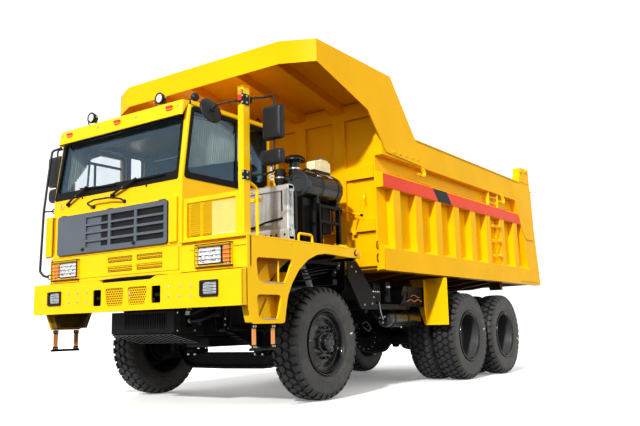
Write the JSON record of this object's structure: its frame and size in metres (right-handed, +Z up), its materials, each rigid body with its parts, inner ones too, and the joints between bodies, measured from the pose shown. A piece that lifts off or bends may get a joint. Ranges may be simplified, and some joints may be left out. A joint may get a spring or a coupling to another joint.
{
  "type": "mining dump truck",
  "caption": "Off-highway mining dump truck with an offset cab, twin driving axles, a tipping rock body with a canopy, a top-hung tailgate and a telescopic front hoist.",
  "frame": {"origin": "on the ground under the middle of the truck's bounding box", "axes": "+X forward, +Y to the truck's left, +Z up"},
  "size_m": [9.1934, 4.128, 4.385],
  "materials": {
    "yellow_paint": "gloss",
    "black_paint": "satin",
    "tyre": "matte",
    "rim_paint": "gloss",
    "glass": "clear",
    "grille_paint": "satin",
    "seat_cloth": "matte",
    "dash_plastic": "matte",
    "lamp_metal": "gloss",
    "mirror_plastic": "satin",
    "radiator_metal": "satin",
    "tank_plastic": "satin",
    "strap_webbing": "matte",
    "hoist_paint": "gloss",
    "hoist_steel": "gloss"
  },
  "bodies": {
    "chassis": {"air_cleaner": "black_paint", "cab_glass": "glass", "cab_roof": "yellow_paint", "cab_shell": "yellow_paint", "chassis_frame": "black_paint", "cooler_box": "black_paint", "dashboard": "dash_plastic", "deck_supports": "black_paint", "driver_seat": "seat_cloth", "engine_block": "black_paint", "expansion_tank": "tank_plastic", "front_axle": "black_paint", "front_bumper": "yellow_paint", "fuel_tank": "black_paint", "grille_panel": "grille_paint", "hanging_steps": "strap_webbing", "headlamps": "lamp_metal", "left_deck": "yellow_paint", "mesh_panel": "yellow_paint", "mirror_post": "yellow_paint", "mirrors": "mirror_plastic", "radiator": "radiator_metal", "rear_axles": "black_paint", "rear_springs": "black_paint", "right_fender": "yellow_paint", "service_rack": "black_paint", "stone_guards": "yellow_paint", "tank_rack": "black_paint", "tow_lugs": "black_paint"},
    "knuckle_left": {"steering_knuckle_left": "black_paint"},
    "knuckle_right": {"steering_knuckle_right": "black_paint"},
    "tie_rod": {"tie_rod": "black_paint"},
    "front_left_wheel": {"front_left_tyre": "tyre", "front_left_rim": "rim_paint"},
    "front_right_wheel": {"front_right_tyre": "tyre", "front_right_rim": "rim_paint"},
    "middle_left_wheels": {"middle_left_tyres": "tyre", "middle_left_rims": "rim_paint"},
    "middle_right_wheels": {"middle_right_tyres": "tyre", "middle_right_rims": "rim_paint"},
    "rear_left_wheels": {"rear_left_tyres": "tyre", "rear_left_rims": "rim_paint"},
    "rear_right_wheels": {"rear_right_tyres": "tyre", "rear_right_rims": "rim_paint"},
    "dump_bed": {"bed_floor": "yellow_paint", "bed_bolsters": "yellow_paint", "bed_stringers": "yellow_paint", "bed_sides": "yellow_paint", "bed_front_wall": "yellow_paint", "bed_canopy": "yellow_paint"},
    "tailgate": {"tailgate": "yellow_paint"},
    "cab_door": {"cab_door": "yellow_paint", "cab_door_glass": "glass"},
    "hoist_barrel": {"hoist_barrel": "hoist_paint"},
    "hoist_stage_1": {"hoist_stage_1": "hoist_steel"},
    "hoist_stage_2": {"hoist_stage_2": "hoist_steel"},
    "hoist_rod": {"hoist_rod": "hoist_steel"}
  },
  "joints": [
    {"name": "steer_left", "type": "hinge", "parent": "chassis", "child": "knuckle_left", "pos_m": [2.693, 1.05, 0.685], "axis": [0, 0, 1], "range_deg": [-32, 32]},
    {"name": "steer_right", "type": "hinge", "parent": "chassis", "child": "knuckle_right", "pos_m": [2.693, -1.05, 0.685], "axis": [0, 0, 1], "range_deg": [-32, 32]},
    {"name": "tie_rod_shift", "type": "slide", "parent": "chassis", "child": "tie_rod", "axis": [0, 1, 0], "range_m": [-0.17, 0.17]},
    {"name": "front_left_spin", "type": "hinge", "parent": "knuckle_left", "child": "front_left_wheel", "pos_m": [2.693, 1.4125, 0.685], "axis": [0, 1, 0], "continuous": true},
    {"name": "front_right_spin", "type": "hinge", "parent": "knuckle_right", "child": "front_right_wheel", "pos_m": [2.693, -1.4125, 0.685], "axis": [0, 1, 0], "continuous": true},
    {"name": "middle_left_spin", "type": "hinge", "parent": "chassis", "child": "middle_left_wheels", "pos_m": [-1.007, 1.4275, 0.685], "axis": [0, 1, 0], "continuous": true},
    {"name": "middle_right_spin", "type": "hinge", "parent": "chassis", "child": "middle_right_wheels", "pos_m": [-1.007, -1.4275, 0.685], "axis": [0, 1, 0], "continuous": true},
    {"name": "rear_left_spin", "type": "hinge", "parent": "chassis", "child": "rear_left_wheels", "pos_m": [-2.507, 1.4275, 0.685], "axis": [0, 1, 0], "continuous": true},
    {"name": "rear_right_spin", "type": "hinge", "parent": "chassis", "child": "rear_right_wheels", "pos_m": [-2.507, -1.4275, 0.685], "axis": [0, 1, 0], "continuous": true},
    {"name": "bed_tilt", "type": "hinge", "parent": "chassis", "child": "dump_bed", "pos_m": [-3.457, 0, 1.42], "axis": [0, -1, 0], "range_deg": [0, 45]},
    {"name": "tailgate_swing", "type": "hinge", "parent": "dump_bed", "child": "tailgate", "pos_m": [-4.127, 0, 3.88], "axis": [0, 1, 0], "range_deg": [0, 50]},
    {"name": "door_swing", "type": "hinge", "parent": "chassis", "child": "cab_door", "pos_m": [4.131, -1.652, 2.265], "axis": [0, 0, 1], "range_deg": [0, 60]},
    {"name": "hoist_swing", "type": "hinge", "parent": "chassis", "child": "hoist_barrel", "pos_m": [1.823, 0, 1.05], "axis": [0, -1, 0], "range_deg": [0, 32]},
    {"name": "hoist_stage_1_slide", "type": "slide", "parent": "hoist_barrel", "child": "hoist_stage_1", "axis": [-0.0133, 0, 0.9999], "range_m": [0, 1.4]},
    {"name": "hoist_stage_2_slide", "type": "slide", "parent": "hoist_stage_1", "child": "hoist_stage_2", "axis": [-0.0133, 0, 0.9999], "range_m": [0, 1.4]},
    {"name": "hoist_rod_slide", "type": "slide", "parent": "hoist_stage_2", "child": "hoist_rod", "axis": [-0.0133, 0, 0.9999], "range_m": [0, 1.4]}
  ],
  "couplings": [
    {"joint": "steer_right", "follows": "steer_left", "ratio": 1},
    {"joint": "tie_rod_shift", "follows": "steer_left", "m_per_rad": -0.29},
    {"joint": "hoist_swing", "follows": "bed_tilt", "ratio": 0.62031},
    {"joint": "hoist_stage_1_slide", "follows": "bed_tilt", "m_per_rad": 1.6765},
    {"joint": "hoist_stage_2_slide", "follows": "bed_tilt", "m_per_rad": 1.6765},
    {"joint": "hoist_rod_slide", "follows": "bed_tilt", "m_per_rad": 1.6765}
  ]
}
